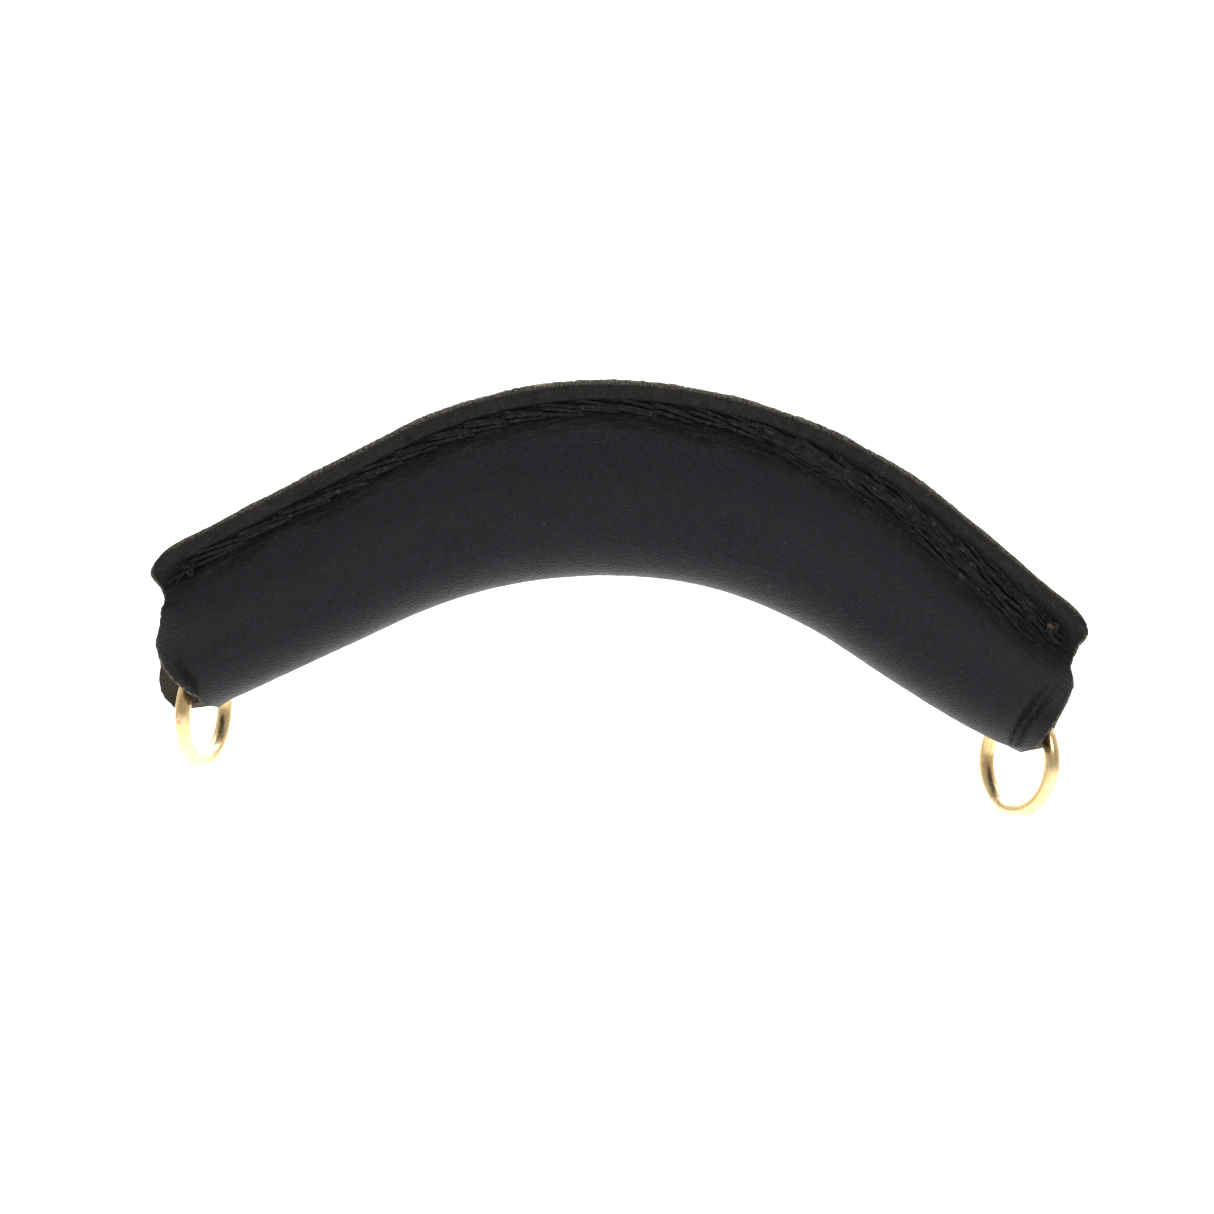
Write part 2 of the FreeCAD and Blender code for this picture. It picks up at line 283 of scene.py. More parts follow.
def folded_sheet():
    """Grid of the cover's outer face: rows from the front flange edge round to the back one."""
    rows = wall_rows()
    sides = [(FRONT, row) for row in rows] + [(BACK, row) for row in reversed(rows[:-1])]
    share_along = np.linspace(-1, 1, COLUMNS)
    points = np.zeros((len(sides), COLUMNS, 3))
    side_of = np.zeros((len(sides), COLUMNS))
    to_end = np.zeros((len(sides), COLUMNS))
    probe = np.array([-PROBE_REACH, PROBE_REACH])
    top, under = top_height(probe), under_height(probe)
    for r, (side, (kind, place)) in enumerate(sides):
        depth = (top - wall_point(kind, place, probe)[1]) / (top - under)
        reach = np.where(
            share_along < 0,
            smooth_steps(depth[0], END_LINES["left", side]),
            smooth_steps(depth[1], END_LINES["right", side]))
        straight = STRAIGHT_SHARE * TIP_REACH
        past = np.clip((np.abs(share_along) - STRAIGHT_SHARE) / (1 - STRAIGHT_SHARE), 0, 1)
        inner = np.minimum(np.abs(share_along), STRAIGHT_SHARE) * TIP_REACH
        x = np.sign(share_along) * (inner + past * (reach - straight))
        y, z = wall_point(kind, place, x)
        points[r] = np.stack([x, side * y, z], axis=1)
        side_of[r] = side
        to_end[r] = reach - np.abs(x)
    return points, side_of, to_end


def grid_normals(points):
    """Outward direction at every point of the sheet."""
    across = np.gradient(points, axis=1)
    down = np.gradient(points, axis=0)
    normal = np.cross(across, down)
    normal /= np.maximum(np.linalg.norm(normal, axis=2, keepdims=True), 1e-9)
    on_front = (points.shape[0] // 4, points.shape[1] // 2)
    if normal[on_front][1] * points[on_front][1] < 0:
        normal = -normal
    return normal


def seam_place(x, z):
    """Depth below the outer edge, and place along the seam counted in stitches."""
    tilt = top_tilt(x)
    depth = (top_height(x) - z) * np.cos(tilt)
    foot = x + (depth - SEAM_DROP) * np.sin(tilt)
    return depth, np.interp(foot, HOLES[:, 0], np.arange(len(HOLES)))


def crease(x, z, line, depth, width):
    """A groove along a line of (x, z) points that starts as a hair line and deepens."""
    line = np.array(line, float)
    t = np.linspace(0, len(line) - 1, 60)
    cx = smooth_steps(t, list(enumerate(line[:, 0])))
    cz = smooth_steps(t, list(enumerate(line[:, 1])))
    gaps = np.hypot(x[..., None] - cx, z[..., None] - cz)
    along = t[np.argmin(gaps, axis=-1)] / t[-1]
    return -depth * np.clip(0.15 + 1.7 * along, 0, 1) * np.exp(-(gaps.min(axis=-1) / width) ** 2)


# Folds in the front wall near its lower corners, as (line of (x, z), depth, width).
CREASES = [
    ([(68.2, -13.2), (66.0, -16.4), (64.2, -19.4), (63.5, -22.8)], 0.90, 0.42),
    ([(69.4, -13.6), (67.3, -17.0), (65.5, -19.8), (64.7, -22.8)], 0.75, 0.40),
    ([(69.4, -17.0), (67.4, -19.2)], 0.20, 0.40),
    ([(-70.0, -17.4), (-68.3, -19.2), (-66.4, -21.4), (-65.8, -24.0)], 0.70, 0.50),
    ([(-68.6, -7.6), (-71.4, -8.9), (-73.6, -8.6)], 0.35, 0.45),
    ([(-69.4, -3.4), (-70.6, -4.4), (-72.0, -5.0)], 0.35, 0.35),
]
# Depth of a crease, in mm, at which its painted shade is at full strength.
CREASE_DARKENS_AT = 0.38


def creases(points, side):
    """Depth of the folds in the front wall, as heights below the leather's smooth shape."""
    sunk = np.zeros(side.shape)
    for line, deep, width in CREASES:
        sunk += (side < 0) * crease(points[..., 0], points[..., 2], line, deep, width)
    return sunk


# The seam's band stands up by this much, and its groove and awl holes sink in by this much.
BAND_HEIGHT = 0.12
GROOVE_DEPTH = 0.62
HOLE_DEPTH = 0.45


def seam_relief(x, depth, place):
    """The flange's flat band, the step down into the seam's groove, and the rise after it.

    The step is sharp to the left of the middle and worn soft towards the right-hand end.
    """
    worn = np.clip(x / 60, 0, 1)
    flange_ends = step_down(depth, 2.75 - 0.9 * worn, 3.05 + 1.1 * worn)
    band = BAND_HEIGHT * np.clip(depth / 0.5, 0, 1) * flange_ends
    groove = -GROOVE_DEPTH * (1 - flange_ends) * step_down(depth, 4.7, 6.0 + 1.5 * worn)
    phase = place - np.floor(place)
    to_hole = np.minimum(phase, 1 - phase) * SEAM_PITCH
    hole = -HOLE_DEPTH * np.exp(-(to_hole / 0.6) ** 2) * bump(depth, 4.5, 0.7)
    return band + groove + hole


def step_down(value, start, end):
    """1 before start, 0 after end, smooth between."""
    t = np.clip((value - start) / (end - start), 0, 1)
    return 1 - t * t * (3 - 2 * t)


# Heights, in mm, of the leather's unevenness, from the broadest dents to the grain.
DENT_HEIGHT, RIPPLE_HEIGHT, GRAIN_HEIGHT = 0.14, 0.025, 0.022
WRINKLE_HEIGHT, WRINKLE_HEIGHT_ADDED_RIGHT, PUCKER_HEIGHT = 0.34, 0.16, 0.04

# The seam and its wrinkles fade out between these distances from the middle.
SEAM_FADES = (69.5, 72.5)
WRINKLES_FADE = (68.0, 73.0)

# How far in from a cut end the leather curls outwards.
LIP_WIDTH = 2.2


def wrinkles(x, z, depth, place):
    """Fine creases beside the seam, long and nearly in line with it, strongest to the right."""
    right = np.clip(x / 45.0, 0, 1)
    lean = 0.16 + 0.06 * right
    warp = field(x, z, 6.0, 8.7, 2)
    streak = (depth - lean * np.abs(x) + 0.45 * warp) * 1.35
    along = np.sign(x) * np.hypot(x, z)
    ridge = 1 - np.abs(field(streak, along * 0.13, 1.0, 5.3, 3)) * 2.2
    ridge = np.sign(ridge) * np.abs(ridge) ** 1.4
    band = bump(depth, 5.9 + 1.5 * right, 1.2 + 1.7 * right)
    reach = np.clip(0.65 + 0.6 * field(x, z, 10.0, 2.2, 1), 0.1, 1.2)
    phase = place - np.floor(place)
    pucker = np.cos(2 * math.pi * (phase - 0.5 - 0.25 * (depth - 6) / 3)) * bump(depth, 6.2, 1.2)
    height = WRINKLE_HEIGHT + WRINKLE_HEIGHT_ADDED_RIGHT * right
    return height * (ridge - 0.5) * band * reach + PUCKER_HEIGHT * pucker


def leather_relief(points, side, to_end):
    """Height of the leather above its smooth shape: seam, wrinkles, dents, creases and lips."""
    x, z = points[..., 0], points[..., 2]
    depth, place = seam_place(x, z)
    relief = seam_relief(x, depth, place) * step_down(np.abs(x), *SEAM_FADES)
    relief += wrinkles(x, z, depth, place) * step_down(np.abs(x), *WRINKLES_FADE)
    relief += DENT_HEIGHT * field(x, z, 24.0, 1.3, 1) * np.clip((depth - 6) / 6, 0, 1)
    relief += RIPPLE_HEIGHT * field(x, z, 4.2, 4.4, 3) * np.clip((depth - 5) / 3, 0.3, 1)
    relief += GRAIN_HEIGHT * field(x, z, 0.9, 7.4, 2)
    relief += creases(points, side)
    low_end = np.clip((depth - 13) / 5, 0, 1)
    lip = np.clip(1 - to_end / LIP_WIDTH, 0, 1) ** 0.8
    low_end = low_end * np.where(side < 0, step_down(depth, 19.0, 23.0), 1)
    relief += lip * low_end * np.where(side > 0, 0.3, np.where(x < 0, 0.75, 0.55))
    return relief


# Heights of the waves that hand cutting leaves in the flange edge and in the two ends.
EDGE_WAVE, END_WAVE = 0.22, 0.25


def roughen_outline(points, to_end):
    """Small hand-cut waves in the flange edge and the two ends."""
    x, z = points[..., 0].copy(), points[..., 2].copy()
    depth = (top_height(x) - z) * np.cos(top_tilt(x))
    edge_wave = EDGE_WAVE * field(x, points[..., 1], 7.0, 6.1, 3)
    points[..., 2] += edge_wave * np.clip(1 - depth / 3.0, 0, 1)
    end_wave = END_WAVE * field(z, points[..., 1] * 0.3, 4.0, 9.4, 2)
    points[..., 0] += end_wave * np.clip(1 - to_end / 4.0, 0, 1)
    return points


def edge_loop(rows, columns):
    """Indices of a grid's border in order, each with its neighbour one step in."""
    at = np.arange(rows * columns).reshape(rows, columns)
    border = np.concatenate([at[0, :-1], at[:-1, -1], at[-1, :0:-1], at[:0:-1, 0]])
    inner = np.concatenate([at[1, :-1], at[:-1, -2], at[-2, :0:-1], at[:0:-1, 1]])
    return border, inner


# The simulated copy is ten times as large, because cloth behaves badly at this small size.
SIM_SCALE = 10.0
SIM_ROWS, SIM_COLUMNS = 64, 150
SIM_FRAMES = 20
SIM_PRESSURE = 4
# The leather is drawn tight, so no fold is deeper than this many millimetres.
PUCKER_CAP = 0.05
EVENING_PASSES = 45
SWELL_LIMIT = 3.0


def smoothed_along(values, passes):
    """Each row evened out along the arch."""
    for _ in range(passes):
        wider = np.pad(values, ((0, 0), (1, 1)), mode="edge")
        values = (wider[:, :-2] + wider[:, 1:-1] + wider[:, 2:]) / 3
    return values


def resampled(grid, row_places, column_places, rows, columns):
    """A coarse grid's values at every row and column of the fine grid."""
    wide = np.array([np.interp(np.arange(columns), column_places, line) for line in grid])
    return np.array([np.interp(np.arange(rows), row_places, line) for line in wide.T]).T


def simulated_puckers(points, normal):
    """How far cloth simulation swells or sinks the stuffed leather between the sewn edges.

    The sheet is a little too large for its shape, held at the seam and blown up from inside.
    The swelling that is even along the arch is taken off, which leaves the folds and puckers.
    """
    rows, columns = points.shape[:2]
    pick_rows = np.unique(np.linspace(0, rows - 1, SIM_ROWS).round().astype(int))
    pick_columns = np.unique(np.linspace(0, columns - 1, SIM_COLUMNS).round().astype(int))
    coarse = points[np.ix_(pick_rows, pick_columns)]
    outward = normal[np.ix_(pick_rows, pick_columns)]
    piece = make_mesh(
        "swelling", coarse.reshape(-1, 3) * SIM_SCALE,
        grid_faces(len(pick_rows), len(pick_columns), flip=True))
    depth = seam_place(coarse[..., 0], coarse[..., 2])[0].ravel()
    held = piece.vertex_groups.new(name="sewn")
    held.add([int(i) for i in np.where(depth < FLANGE_DEPTH)[0]], 1.0, "REPLACE")

    cloth = piece.modifiers.new("swell", "CLOTH")
    cloth.settings.vertex_group_mass = "sewn"
    cloth.settings.quality = 7
    cloth.settings.mass = 0.4
    cloth.settings.tension_stiffness = 20
    cloth.settings.compression_stiffness = 20
    cloth.settings.shear_stiffness = 8
    cloth.settings.bending_stiffness = 6.0
    cloth.settings.shrink_min = -0.04
    cloth.settings.use_pressure = True
    cloth.settings.uniform_pressure_force = SIM_PRESSURE
    cloth.settings.effector_weights.gravity = 0
    cloth.point_cache.frame_start = 1
    cloth.point_cache.frame_end = SIM_FRAMES
    scene = bpy.context.scene
    for step in range(1, SIM_FRAMES + 1):
        scene.frame_set(step)
    swollen = piece.evaluated_get(bpy.context.evaluated_depsgraph_get())
    flat = np.zeros(len(swollen.data.vertices) * 3)
    swollen.data.vertices.foreach_get("co", flat)
    scene.frame_set(1)
    bpy.data.objects.remove(piece)

    moved = flat.reshape(coarse.shape) / MM / SIM_SCALE - coarse
    swell = np.clip((moved * outward).sum(axis=2), -SWELL_LIMIT, SWELL_LIMIT)
    folds = swell - smoothed_along(swell, EVENING_PASSES)
    puckers = PUCKER_CAP * np.tanh(folds / PUCKER_CAP)
    return resampled(puckers, pick_rows, pick_columns, rows, columns)


# The plug that cuts a ring's hole starts inside the cover and ends past its back wall.
PLUG_SIDES = 36
PLUG_START, PLUG_PAST_WALL = 2.0, 4.0


def ring_hole_cutter(name, reach):
    """A worn, slightly pear-shaped plug that cuts the ring's hole in the back wall."""
    middle_z = JOINTS[name + "_swing"]["pos_m"][2] / MM + RING_HOLE_RISE
    angle = np.linspace(0, 2 * math.pi, PLUG_SIDES, endpoint=False)
    radius = RING_HOLE * (1 + 0.05 * np.sin(2 * angle + 1) + 0.03 * np.sin(5 * angle))
    ring = np.stack([reach + radius * np.cos(angle), 0 * angle,
                     middle_z + radius * np.sin(angle)], axis=1)
    near, far = ring.copy(), ring.copy()
    near[:, 1], far[:, 1] = PLUG_START, BELLY + PLUG_PAST_WALL
    faces = []
    for i in range(PLUG_SIDES):
        j = (i + 1) % PLUG_SIDES
        faces.append((i, j, PLUG_SIDES + j, PLUG_SIDES + i))
    faces.append(tuple(range(PLUG_SIDES - 1, -1, -1)))
    faces.append(tuple(range(PLUG_SIDES, 2 * PLUG_SIDES)))
    piece = make_mesh("hole_cutter", np.concatenate([near, far]), faces)
    set_mask(piece, "cut", np.ones(2 * PLUG_SIDES))
    return piece


def cut_away(piece, cutter):
    """Cut the cutter's shape out of the piece."""
    face_outward(piece)
    face_outward(cutter)
    tool = piece.modifiers.new("hole", "BOOLEAN")
    tool.operation = "DIFFERENCE"
    tool.solver = "EXACT"
    tool.object = cutter
    graph = bpy.context.evaluated_depsgraph_get()
    cut_mesh = bpy.data.meshes.new_from_object(piece.evaluated_get(graph))
    piece.modifiers.remove(tool)
    piece.data = cut_mesh
    bpy.data.objects.remove(cutter)


# Places through the leather's cut edge, and how far the rounded edge stands out at each.
CUT_EDGE = ((0.12, 0.16), (0.35, 0.26), (0.65, 0.26), (0.88, 0.16))
CUT_EDGE_JAG = 0.07
# How much of the outer face's relief shows on the inner face: rises more than hollows.
RISE_FOLLOWS, HOLLOW_FOLLOWS = 0.7, 0.15


def leather_cover():
    """The folded sheet with its relief and thickness, and the masks for its material."""
    points, side, to_end = folded_sheet()
    points = roughen_outline(points, to_end)
    normal = grid_normals(points)
    relief = leather_relief(points, side, to_end)
    depth = seam_place(points[..., 0], points[..., 2])[0]
    relief += simulated_puckers(points, normal) * step_down(depth, 7.0, 15.0)
    outer = points + normal * relief[..., None]
    follow = np.where(relief > 0, RISE_FOLLOWS, HOLLOW_FOLLOWS) * relief
    inner = points + normal * (follow - LEATHER)[..., None]
    rows, columns = relief.shape
    count = rows * columns

    depth, place = seam_place(points[..., 0], points[..., 2])
    border, next_in = edge_loop(rows, columns)
    flat_outer = outer.reshape(-1, 3)
    flat_inner = inner.reshape(-1, 3)
    outward = flat_outer[border] - flat_outer[next_in]
    outward /= np.maximum(np.linalg.norm(outward, axis=1, keepdims=True), 1e-9)
    rim = []
    for share, push in CUT_EDGE:
        middle = flat_outer[border] * (1 - share) + flat_inner[border] * share
        jag = push + CUT_EDGE_JAG * RNG.standard_normal((len(border), 1))
        rim.append(middle + outward * jag)

    everything = np.concatenate([flat_outer, flat_inner] + rim)
    faces = grid_faces(rows, columns, 0, flip=True)
    faces += grid_faces(rows, columns, count)
    rings = [border] + [
        2 * count + k * len(border) + np.arange(len(border)) for k in range(len(CUT_EDGE))]
    rings.append(border + count)
    for a, b in zip(rings, rings[1:]):
        a_next, b_next = np.roll(a, -1), np.roll(b, -1)
        faces += [tuple(int(v) for v in quad) for quad in zip(a, a_next, b_next, b)]
    piece = make_mesh("leather_cover_visual", everything, faces)

    rim_count = len(CUT_EDGE) * len(border)
    rightness = np.clip(points[..., 0] / 50, 0, 1)
    flange = step_down(depth, 2.4 - 1.2 * rightness, 3.6 + 0.6 * rightness).ravel()
    # Painted shade: the seam mask darkens the groove below the flange where the stitches lie, and
    # the creases of the front wall as well.
    seam = step_down(depth, 5.4 + 1.6 * rightness, 8.0 + 4.0 * rightness)
    seam *= 1 - step_down(depth, 2.7 - 1.0 * rightness, 3.1 + 0.6 * rightness)
    crease_shade = np.clip(-creases(points, side) / CREASE_DARKENS_AT, 0, 1)
    seam = np.maximum(seam, crease_shade).ravel()
    # Painted shade: the band beside the seam where dark hair lines stand in for the shade of its
    # fine wrinkles.
    wrinkle_shade_band = bump(depth, 6.3 + 1.0 * rightness, 1.5 + 1.6 * rightness).ravel()
    set_mask(piece, "wrinkle_shade_band", np.concatenate([wrinkle_shade_band, 0 * wrinkle_shade_band, np.zeros(rim_count)]))
    for name, value in (("below_edge", depth), ("along_seam", place * SEAM_PITCH)):
        value = (value * MM).ravel()
        set_mask(piece, name, np.concatenate([value, value, np.zeros(rim_count)]))
    set_mask(piece, "flange", np.concatenate([flange, 0 * flange, np.ones(rim_count)]))
    set_mask(piece, "seam", np.concatenate([seam, 0 * seam, np.zeros(rim_count)]))
    near_edge = np.clip(1.3 - np.minimum(2.5 * to_end, depth) / 0.5, 0, 1).ravel()
    set_mask(piece, "cut", np.concatenate([0.8 * near_edge, 0 * flange, np.ones(rim_count)]))
    set_mask(piece, "flesh", np.concatenate([0 * flange, 1 + 0 * flange, np.full(rim_count, 0.4)]))
    for name, reach in (("ring_left", -RING_REACH), ("ring_right", RING_REACH)):
        cut_away(piece, ring_hole_cutter(name, reach))
    return piece


# ------------------------------------------------------------------ stuffing

# Room between stuffing and leather, half the stuffing's thickness at its thin edge, its tufts.
STUFFING_GAP = 0.25
STUFFING_NECK = 0.15
TUFT_HEIGHT, END_TUFT_HEIGHT = 0.12, 0.35
# The domed end: share of the way out from its middle, and how far it stands out there.
DOME = ((0.75, 0.8), (0.5, 1.5), (0.25, 1.9))
DOME_TOP = 2.0


def stuffing():
    """The roll of stuffing, with tufted ends that show a little in the open mouths."""
    rows = [("shoulder", t) for t in np.linspace(0.18, 1, 18)]
    rows += [("fold", a) for a in np.linspace(0.1, math.pi / 2, 10)]
    half = BELLY - LEATHER - STUFFING_GAP
    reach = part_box("padding_roll")[1][0] / MM
    x = np.linspace(-reach, reach, 90)
    loops = []
    for side, order in ((FRONT, rows), (BACK, rows[-2::-1])):
        for kind, place in order:
            y, z = wall_point(kind, place, x, belly=half, neck=STUFFING_NECK)
            loops.append(np.stack([x, side * y, z], axis=1))
    grid = np.array(loops)
    grid[..., 1] += TUFT_HEIGHT * field(grid[..., 0], grid[..., 2], 2.5, 3.3, 3)
    ring_count, columns = grid.shape[:2]
    points = list(grid.reshape(-1, 3))
    faces = grid_faces(ring_count, columns, 0, flip=True)
    last_row = (ring_count - 1) * columns
    faces += [(c, c + 1, last_row + c + 1, last_row + c) for c in range(columns - 1)]
    for column, outward in ((0, -1), (columns - 1, 1)):
        rim = [r * columns + column for r in range(ring_count)]
        centre = grid[:, column].mean(axis=0)
        previous = rim
        for share, dome in DOME:
            start = len(points)
            for r in range(ring_count):
                p = centre + (grid[r, column] - centre) * share
                tuft = dome + END_TUFT_HEIGHT * RNG.standard_normal()
                p = p + np.array([outward * tuft, 0, 0])
                points.append(p)
            current = list(range(start, start + ring_count))
            for i in range(ring_count):
                j = (i + 1) % ring_count
                quad = (previous[i], previous[j], current[j], current[i])
                faces.append(quad if outward < 0 else quad[::-1])
            previous = current
        points.append(centre + np.array([outward * DOME_TOP, 0, 0]))
        for i in range(ring_count):
            j = (i + 1) % ring_count
            tri = (previous[i], previous[j], len(points) - 1)
            faces.append(tri if outward < 0 else tri[::-1])
    piece = make_mesh("stuffing_visual", points, faces)
    face_outward(piece)
    return piece


# ------------------------------------------------------------------ thread

PLIES = 2
TWIST_TURNS_PER_MM = 0.55
PLY_RIPPLE = 0.13


def tube(path, radius, sides=12):
    """Points and faces of a twisted thread along a path, closed at both ends."""
    path = np.array(path, float)
    step = np.gradient(path, axis=0)
    step /= np.linalg.norm(step, axis=1, keepdims=True)
    run = np.concatenate([[0], np.cumsum(np.linalg.norm(np.diff(path, axis=0), axis=1))])
    side = np.cross(step[0], [0.0, 1.0, 0.02])
    side /= np.linalg.norm(side)
    angle = np.linspace(0, 2 * math.pi, sides, endpoint=False)
    radius = np.broadcast_to(radius, (len(path),))
    points = []
    for i, centre in enumerate(path):
        side = side - step[i] * (side @ step[i])
        side /= np.linalg.norm(side)
        up = np.cross(step[i], side)
        ripple = 1 + PLY_RIPPLE * np.cos(
            PLIES * angle + 2 * math.pi * TWIST_TURNS_PER_MM * run[i])
        ring = (np.cos(angle) * ripple)[:, None] * side + (np.sin(angle) * ripple)[:, None] * up
        points.extend(centre + radius[i] * ring)
    faces = []
    for i in range(len(path) - 1):
        for k in range(sides):
            m = (k + 1) % sides
            faces.append((i * sides + k, i * sides + m, (i + 1) * sides + m, (i + 1) * sides + k))
    faces.append(tuple(range(sides - 1, -1, -1)))
    faces.append(tuple((len(path) - 1) * sides + k for k in range(sides)))
    return points, faces


def joined(name, tubes):
    """One piece made of several tubes."""
    points, faces = [], []
    for tube_points, tube_faces in tubes:
        faces += [tuple(v + len(points) for v in face) for face in tube_faces]
        points += list(tube_points)
    return make_mesh(name, points, faces)


# A strand starts before its hole and ends past the next one, by this share of a stitch.
STITCH_OVERLAP = 0.14
# The stitches get looser from this one on, counted from the left.
LOOSE_FROM = 13


def stitch_path(start, end, side, first, last, lift):
    """One strand of a stitch. It starts first and ends last above the line of holes."""
    start, end = np.array(start), np.array(end)
    along = end - start
    length = np.linalg.norm(along)
    along /= length
    out = np.array([-along[1], along[0]])
    t = np.linspace(0, 1, 28)
    plan = start + np.outer((-STITCH_OVERLAP + t * (1 + 1.5 * STITCH_OVERLAP)) * length, along)
    plan += np.outer(first + (last - first) * t ** 1.3, out)
    rise = np.sin(np.clip(np.minimum(t * 1.3, 1 - t) * length / 1.5, 0, 1) * math.pi / 2)
    y = side * (0.5 + (lift - 0.5) * rise)
    return np.stack([plan[:, 0], y, plan[:, 1]], axis=1)


def seam_strands(side):
    """All stitches of one face, each a few strands side by side, looser to the right."""
    tubes = []
    for n, (a, b) in enumerate(zip(HOLES, HOLES[1:])):
        loose = max(0.0, (n - LOOSE_FROM) / (STITCHES - LOOSE_FROM))
        strands = 4 if n > LOOSE_FROM else 3
        for share in np.linspace(-1, 1, strands):
            luck = RNG.uniform(-1, 1, 5)
            first = 0.50 + (0.70 + 0.3 * loose) * share + (0.30 + 0.4 * loose) * luck[0]
            last = -0.50 + (0.40 + 0.5 * loose) * share + (0.30 + 0.4 * loose) * luck[1]
            lift = NECK - 0.22 + 0.16 * (1 - abs(share)) + 0.10 * luck[2] + 0.12 * loose
            tubes.append(tube(
                stitch_path(a, b, side, first - 0.6 * loose, last - 1.1 * loose, lift),
                STRAND_RADIUS * (1 + 0.15 * luck[3]) * (1 - 0.2 * loose)))
    return tubes


def face_y(x, z):
    """Distance of the cover's smooth face from the middle plane at places on the shoulder."""
    share = np.linspace(0, 1, 80)
    found = []
    for px, pz in zip(x, z):
        y, height = wall_point("shoulder", share, np.full(80, px))
        found.append(np.interp(-pz, -height, y))
    return np.array(found)


# Loose fibres lie between these places along the seam, and are this long and this thick.
STRAYS_FROM, STRAYS_TO = 22.0, 67.0
STRAY_SHORTEST, STRAY_LONGEST = 5.0, 13.0
STRAY_THINNEST, STRAY_THICKEST = 0.13, 0.24
STRAY_LIFT = 0.12


def stray_threads():
    """Loose fibres of thread that lie tangled below the seam on the front of the right leg."""
    tubes = []
    for _ in range(STRAYS):
        middle = RNG.uniform(STRAYS_FROM, STRAYS_TO)
        length = RNG.uniform(STRAY_SHORTEST, STRAY_LONGEST)
        t = np.linspace(-0.5, 0.5, 24)
        x = middle + t * length
        drift = np.clip((middle - 20) / 25, 0, 1)
        depth = (SEAM_DROP + RNG.uniform(-0.6, 2.2 + 1.8 * drift) + RNG.uniform(-0.4, 2.0) * t
                 + 0.22 * np.sin(2 * math.pi * (t * RNG.uniform(0.8, 2.2) + RNG.uniform(0, 1))))
        tilt = top_tilt(x)
        z = top_height(x) - depth / np.cos(tilt)
        y = -(face_y(x, z) + STRAY_LIFT - 0.5 * np.abs(2 * t) ** 6)
        radius = RNG.uniform(STRAY_THINNEST, STRAY_THICKEST)
        tubes.append(tube(np.stack([x, y, z], axis=1), radius, sides=8))
    return tubes


PASS_REACH = 0.9
PASS_RADIUS = 0.62


def thread_passes():
    """Thread through each awl hole, seen only between the two leather edges."""
    tubes = []
    for x, z in HOLES:
        path = [(x, y, z) for y in np.linspace(-PASS_REACH, PASS_REACH, 5)]
        tubes.append(tube(path, PASS_RADIUS, sides=10))
    return tubes


def knot(centre, size, turn):
    """A small overhand knot, pulled tight: a flattened trefoil."""
    t = np.linspace(0, 2 * math.pi, 60)
    x = np.sin(t) + 1.6 * np.sin(2 * t)
    z = np.cos(t) - 1.6 * np.cos(2 * t)
    y = -1.1 * np.sin(3 * t)
    path = np.stack([
        x * math.cos(turn) - z * math.sin(turn), 0.55 * y,
        x * math.sin(turn) + z * math.cos(turn)], axis=1)
    return tube(np.array(centre) + path * size, STRAND_RADIUS * 0.9)


TAIL_STEPS = 14
TAIL_WAVE = 0.35
FIBRE_RADIUS = 0.07


def tail(start, heading, length, phase, radius=STRAND_RADIUS * 0.8):
    """A short cut end lying on the leather."""
    t = np.linspace(0, 1, TAIL_STEPS)
    side = np.array([-heading[1], heading[0]])
    wave = TAIL_WAVE * np.sin(5 * t + phase) * t
    plan = np.array([start[0], start[2]]) + np.outer(t * length, heading) + np.outer(wave, side)
    y = np.full(TAIL_STEPS, start[1])
    return tube(np.stack([plan[:, 0], y, plan[:, 1]], axis=1), radius * (1 - 0.35 * t))


def fray(start, heading, length, count):
    """Loose fibres at a cut end of thread."""
    tubes = []
    for _ in range(count):
        turn = RNG.normal(0, 0.55)
        way = np.array([
            heading[0] * math.cos(turn) - heading[1] * math.sin(turn),
            heading[0] * math.sin(turn) + heading[1] * math.cos(turn)])
        tubes.append(tail(
            np.array(start) + RNG.normal(0, 0.15, 3), way, length * RNG.uniform(0.5, 1),
            RNG.uniform(0, 6), radius=FIBRE_RADIUS))
    return tubes


# ------------------------------------------------------------------ brass rings

# Where the ends of the wire meet, in radians round from the bottom of the ring, with the notch
# between them: its depth as a share of the wire's radius, and its width in millimetres.
BUTT_JOINT_AT = 2.25
NOTCH_DEPTH, NOTCH_WIDTH = 0.16, 0.16
RING_STEPS, WIRE_STEPS = 180, 28


def brass_ring(name, joint):
    """A ring of round wire, bent by hand and closed with a butt joint."""
    pivot = np.array(joint["pos_m"]) / MM
    node_low, node_high = [np.array(c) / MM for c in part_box(name)]
    radius = (node_high[2] - node_low[2]) / 2 - WIRE_RADIUS
    tangent = np.array(joint["axis"], float)
    tangent *= math.copysign(1, tangent[1])
    down = np.array([0.0, 0.0, -1.0])
    facing = np.cross(tangent, down)
    centre = pivot + radius * down
    around, across = RING_STEPS, WIRE_STEPS
    points = []
    for i in range(around):
        a = 2 * math.pi * i / around
        spoke = math.cos(a) * down + math.sin(a) * tangent
        worn = WIRE_RADIUS * (1 + 0.012 * math.sin(3 * a + 1) + 0.01 * math.sin(7 * a))
        gap = abs((a - BUTT_JOINT_AT + math.pi) % (2 * math.pi) - math.pi) * radius
        worn *= 1 - NOTCH_DEPTH * math.exp(-(gap / NOTCH_WIDTH) ** 2)
        for k in range(across):
            b = 2 * math.pi * k / across
            points.append(
                centre + spoke * (radius + worn * math.cos(b)) + facing * worn * math.sin(b))
    faces = []
    for i in range(around):
        j = (i + 1) % around
        for k in range(across):
            m = (k + 1) % across
            faces.append((i * across + k, j * across + k, j * across + m, i * across + m))
    return make_mesh(name + "_visual", points, faces)


# ------------------------------------------------------------------ materials

